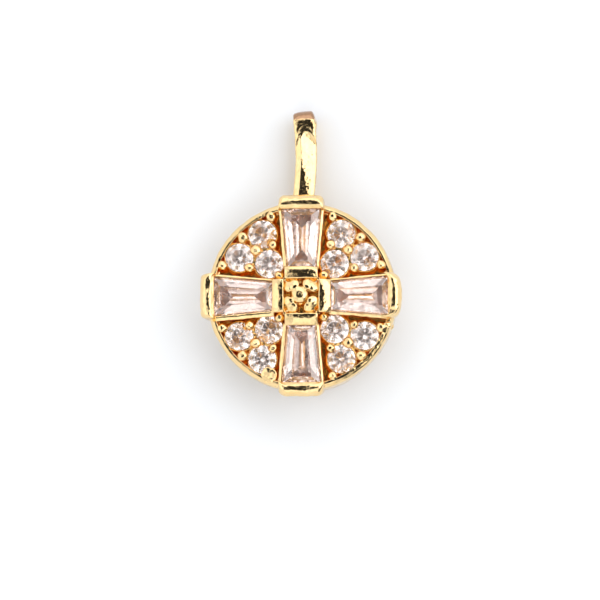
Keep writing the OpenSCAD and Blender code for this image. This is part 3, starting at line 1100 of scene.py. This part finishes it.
def build_paddle():
    """The round paddle into which the back leg flares, softly rounded for the inside of the nose."""
    metal = bpy.context.scene.nose_pin_metal
    thickness = in_mm(metal, "strip_thickness")
    radius = in_mm(metal, "paddle_radius")
    middle_y = radius - in_mm(metal, "back_leg_past")
    touch = math.radians(30)
    touch_x = radius * math.cos(touch)
    touch_y = middle_y + radius * math.sin(touch)
    flare_y = touch_y + (touch_x - BACK_LEG_HALF) / math.tan(touch)
    left = STRIP_OFFSET - BACK_LEG_HALF
    right = STRIP_OFFSET + BACK_LEG_HALF
    outline = arc((STRIP_OFFSET, middle_y), radius, 150, 390, 60)
    outline += [(right, flare_y), (right, flare_y + 0.5), (left, flare_y + 0.5), (left, flare_y)]
    bm = bmesh.new()
    prism(bm, outline, 0, thickness)
    paddle = add_object("clip_paddle", bm)
    fuse(paddle, voxel=0.035, smoothing=4)
    roughen(paddle, [(0.012, 0.6)])
    finish_metal(paddle)


# Stones

def dress_stones(names, material):
    """Gives packed stones their polished material."""
    for name in names:
        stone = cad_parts[name]
        stone.data.materials.clear()
        stone.data.materials.append(material)


# Studio

def build_floor():
    """A pale floor under the pin."""
    bm = bmesh.new()
    bmesh.ops.create_circle(bm, cap_ends=True, radius=2.0, segments=96)
    floor = add_object("floor", bm)
    floor.data.materials.append(floor_material())


def build_tent():
    """The light tent: cloth all round, a softbox on each side, and a dark hole overhead."""
    studio = bpy.context.scene.nose_pin_studio
    world = bpy.data.worlds.new("light_tent")
    world.use_nodes = True
    bpy.context.scene.world = world
    tree = world.node_tree
    tree.nodes.clear()
    direction = add_node(tree, "ShaderNodeTexCoord").outputs["Generated"]
    # The cloth hangs in folds, which bend the edges of the softboxes
    fold = 0.3
    folds = add_node(tree, "ShaderNodeTexNoise",
                     {"Vector": direction, "Scale": 5, "Detail": 3, "Roughness": 0.6})
    shift = add_node(tree, "ShaderNodeVectorMath",
                     {0: folds.outputs["Color"], 1: (fold,) * 3, 2: (-fold / 2,) * 3},
                     operation="MULTIPLY_ADD")
    bent = add_node(tree, "ShaderNodeVectorMath",
                    {0: direction, 1: shift.outputs["Vector"]}, operation="ADD")
    # The cloth is unevenly lit
    patches = add_node(tree, "ShaderNodeTexNoise",
                       {"Vector": direction, "Scale": 3, "Detail": 2, "Roughness": 0.5})
    cloth = add_node(tree, "ShaderNodeMapRange",
                     {"Value": patches.outputs["Fac"], "From Min": 0.3, "From Max": 0.7,
                      "To Min": 0.6, "To Max": 1.25})
    colour = add_node(tree, "ShaderNodeMix",
                      {"Factor": cloth.outputs["Result"], "A": (0, 0, 0, 1), "B": (1, 1, 1, 1)},
                      data_type="RGBA")
    # Lamps stand round the tent, so its walls are brighter than its top
    wall_light = 1.15
    parts = add_node(tree, "ShaderNodeSeparateXYZ", {"Vector": direction})
    walls = add_node(tree, "ShaderNodeMapRange",
                     {"Value": parts.outputs["Z"], "From Min": math.cos(math.radians(50)),
                      "From Max": math.cos(math.radians(68))}, interpolation_type="SMOOTHSTEP")
    colour = add_node(tree, "ShaderNodeMix",
                      {"Factor": walls.outputs["Result"], "A": colour.outputs["Result"],
                       "B": (wall_light, wall_light, wall_light, 1)}, data_type="RGBA")
    # Softboxes and holes, as cones whose axis leans from overhead: lean to the right and lean
    # upwards in the picture, inner and outer angle of the cone, brightness
    lights = (
        (5, 46, 20, 32, 1.8),
        (-46, 5, 16, 28, 1.55),
        (40, 8, 20, 32, 2.4),
        (6, -44, 14, 24, 1.5),
        (80, -78, 18, 32, 0.1),
        (0, 2, 17, 20, 0.03),
    )
    for right, up, inner, outer, brightness in lights:
        axis = Vector((math.tan(math.radians(right)), math.tan(math.radians(up)), 1)).normalized()
        dot = add_node(tree, "ShaderNodeVectorMath", {0: bent.outputs["Vector"], 1: axis},
                       operation="DOT_PRODUCT")
        cone = add_node(tree, "ShaderNodeMapRange",
                        {"Value": dot.outputs["Value"], "From Min": math.cos(math.radians(outer)),
                         "From Max": math.cos(math.radians(inner))},
                        interpolation_type="SMOOTHSTEP")
        colour = add_node(tree, "ShaderNodeMix",
                          {"Factor": cone.outputs["Result"], "A": colour.outputs["Result"],
                           "B": (brightness, brightness, brightness, 1)}, data_type="RGBA")
    # The seats give the stones less light from below than the real ones get from the sides
    ray = add_node(tree, "ShaderNodeLightPath").outputs["Is Transmission Ray"]
    strength = add_node(tree, "ShaderNodeMapRange",
                        {"Value": ray, "To Min": studio.tent,
                         "To Max": studio.tent * studio.stone_gain})
    background = add_node(tree, "ShaderNodeBackground",
                          {"Color": colour.outputs["Result"],
                           "Strength": strength.outputs["Result"]})
    add_node(tree, "ShaderNodeOutputWorld", {"Surface": background.outputs["Background"]})


def build_camera():
    """The camera at the photo's angle, looking down on the face."""
    studio = bpy.context.scene.nose_pin_studio
    metal = bpy.context.scene.nose_pin_metal
    # The spot on the face that the middle of the picture shows
    aim_x = -0.079 * MM
    aim_y = -0.188 * MM
    target = Vector((aim_x, aim_y, metal.back_level + metal.rim_height))
    towards = Vector((math.tan(studio.lean_right), -math.tan(studio.lean_down), 1)).normalized()
    data = bpy.data.cameras.new("camera")
    data.sensor_width = 36
    data.lens = data.sensor_width * studio.distance / studio.frame_width
    data.clip_start = 0.01
    data.clip_end = 10
    camera = bpy.data.objects.new("camera", data)
    camera.location = target + towards * studio.distance
    up = (Vector((0, 1, 0)) - towards * towards.y).normalized()
    right = up.cross(towards)
    camera.matrix_world = Matrix.Translation(camera.location) @ Matrix(
        (right, up, towards)).transposed().to_4x4()
    bpy.context.scene.collection.objects.link(camera)
    bpy.context.scene.camera = camera


def set_colour_management():
    """Plain display colours, so that the card stays white and highlights burn out."""
    view = bpy.context.scene.view_settings
    view.view_transform = "Standard"
    view.look = "None"


def set_light_paths():
    """Follows light far enough for a step-cut stone, which returns it after many reflections."""
    paths = bpy.context.scene.cycles
    paths.max_bounces = 24
    paths.glossy_bounces = 24
    paths.transmission_bounces = 24


# Operators

class NOSEPIN_OT_disc(bpy.types.Operator):
    """Builds the disc with its rim and seats"""
    bl_idname = "nosepin.disc"
    bl_label = "Disc"

    def execute(self, context):
        build_disc()
        return {"FINISHED"}


class NOSEPIN_OT_arms(bpy.types.Operator):
    """Builds the four arms of the cross"""
    bl_idname = "nosepin.arms"
    bl_label = "Arms of the cross"

    def execute(self, context):
        build_arms()
        return {"FINISHED"}


class NOSEPIN_OT_centre(bpy.types.Operator):
    """Builds the ball and beads in the middle"""
    bl_idname = "nosepin.centre"
    bl_label = "Centre beads"

    def execute(self, context):
        build_centre()
        return {"FINISHED"}


class NOSEPIN_OT_prongs(bpy.types.Operator):
    """Builds the cups and beaded prongs round the round stones"""
    bl_idname = "nosepin.prongs"
    bl_label = "Cups and prongs"

    def execute(self, context):
        build_quarters()
        return {"FINISHED"}


class NOSEPIN_OT_clip(bpy.types.Operator):
    """Builds the bent strip of the clip and its paddle"""
    bl_idname = "nosepin.clip"
    bl_label = "Clip"

    def execute(self, context):
        build_clip()
        build_paddle()
        return {"FINISHED"}


class NOSEPIN_OT_stones(bpy.types.Operator):
    """Dresses the baguettes and the round stones"""
    bl_idname = "nosepin.stones"
    bl_label = "Stones"

    def execute(self, context):
        finish = context.scene.nose_pin_finish
        dress_stones(BAGUETTE_TURNS, zirconia_material(
            "polished_zirconia_baguette", finish.baguette, clear=0.9, wave=0.01, wave_size=0.35))
        dress_stones(ROUND_NODES, zirconia_material(
            "polished_zirconia_round", finish.round_stone, clear=0.92, wave=0.012, wave_size=0.3))
        return {"FINISHED"}


class NOSEPIN_OT_stage(bpy.types.Operator):
    """Sets up the floor, the light tent and the camera"""
    bl_idname = "nosepin.stage"
    bl_label = "Stage"

    def execute(self, context):
        build_floor()
        build_tent()
        build_camera()
        set_colour_management()
        set_light_paths()
        return {"FINISHED"}


class NOSEPIN_PT_panel(bpy.types.Panel):
    """Lists the steps that build the nose pin"""
    bl_idname = "NOSEPIN_PT_panel"
    bl_label = "Nose pin"
    bl_space_type = "VIEW_3D"
    bl_region_type = "UI"
    bl_category = "Nose pin"

    def draw(self, context):
        column = self.layout.column()
        for step in STEPS:
            column.operator(step.bl_idname)


STEPS = (NOSEPIN_OT_disc, NOSEPIN_OT_arms, NOSEPIN_OT_centre, NOSEPIN_OT_prongs,
         NOSEPIN_OT_clip, NOSEPIN_OT_stones, NOSEPIN_OT_stage)
GROUPS = {
    "nose_pin_metal": NosePinMetal,
    "nose_pin_finish": NosePinFinish,
    "nose_pin_studio": NosePinStudio,
}


def register():
    for name, group in GROUPS.items():
        bpy.utils.register_class(group)
        setattr(bpy.types.Scene, name, bpy.props.PointerProperty(type=group))
    for item in (*STEPS, NOSEPIN_PT_panel):
        bpy.utils.register_class(item)


def unregister():
    for item in reversed((*STEPS, NOSEPIN_PT_panel)):
        bpy.utils.unregister_class(item)
    for name, group in reversed(GROUPS.items()):
        delattr(bpy.types.Scene, name)
        bpy.utils.unregister_class(group)


def main():
    register()
    bpy.ops.nosepin.disc()
    bpy.ops.nosepin.arms()
    bpy.ops.nosepin.centre()
    bpy.ops.nosepin.prongs()
    bpy.ops.nosepin.clip()
    bpy.ops.nosepin.stones()
    bpy.ops.nosepin.stage()


if __name__ == "__main__":
    main()
